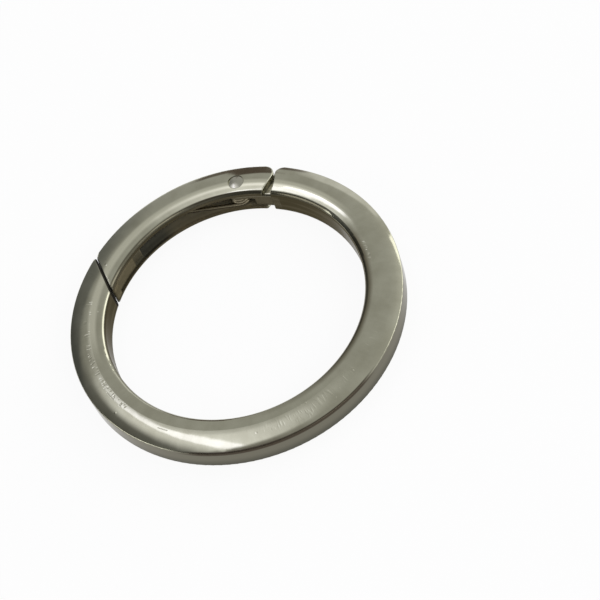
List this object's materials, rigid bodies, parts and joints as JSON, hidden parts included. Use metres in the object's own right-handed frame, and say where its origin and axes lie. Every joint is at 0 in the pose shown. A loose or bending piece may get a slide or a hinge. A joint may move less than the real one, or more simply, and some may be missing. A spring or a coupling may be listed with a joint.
{
  "type": "spring gate ring",
  "caption": "Round cast ring with a hinged gate that is pushed inward to open and closes by a torsion spring, for joining straps, cords or keys.",
  "frame": {"origin": "centre of the loop at half the ring's thickness", "axes": "+Z along the loop's axis, towards the face that the picture shows; +Y towards the closed gate's side, with the hinge rivet 67.8 degrees from +X"},
  "size_m": [0.0486, 0.0486, 0.0046],
  "materials": {
    "nickel_plate": "worn nickel plate on cast zinc",
    "rivet_steel": "plated, peened ends",
    "spring_wire": "drawn wire"
  },
  "bodies": {
    "ring": {"ring_body": "nickel_plate", "closing_spring": "spring_wire"},
    "gate": {"gate": "nickel_plate", "hinge_rivet": "rivet_steel"}
  },
  "joints": [
    {"name": "gate_hinge", "type": "hinge", "parent": "ring", "child": "gate", "pos_m": [0.00802, 0.01965, 0], "axis": [0, 0, 1], "range_deg": [0, 45], "stiffness_Nm_per_rad": 0.025, "springref_deg": -68.75, "deforming": ["closing_spring"]}
  ]
}
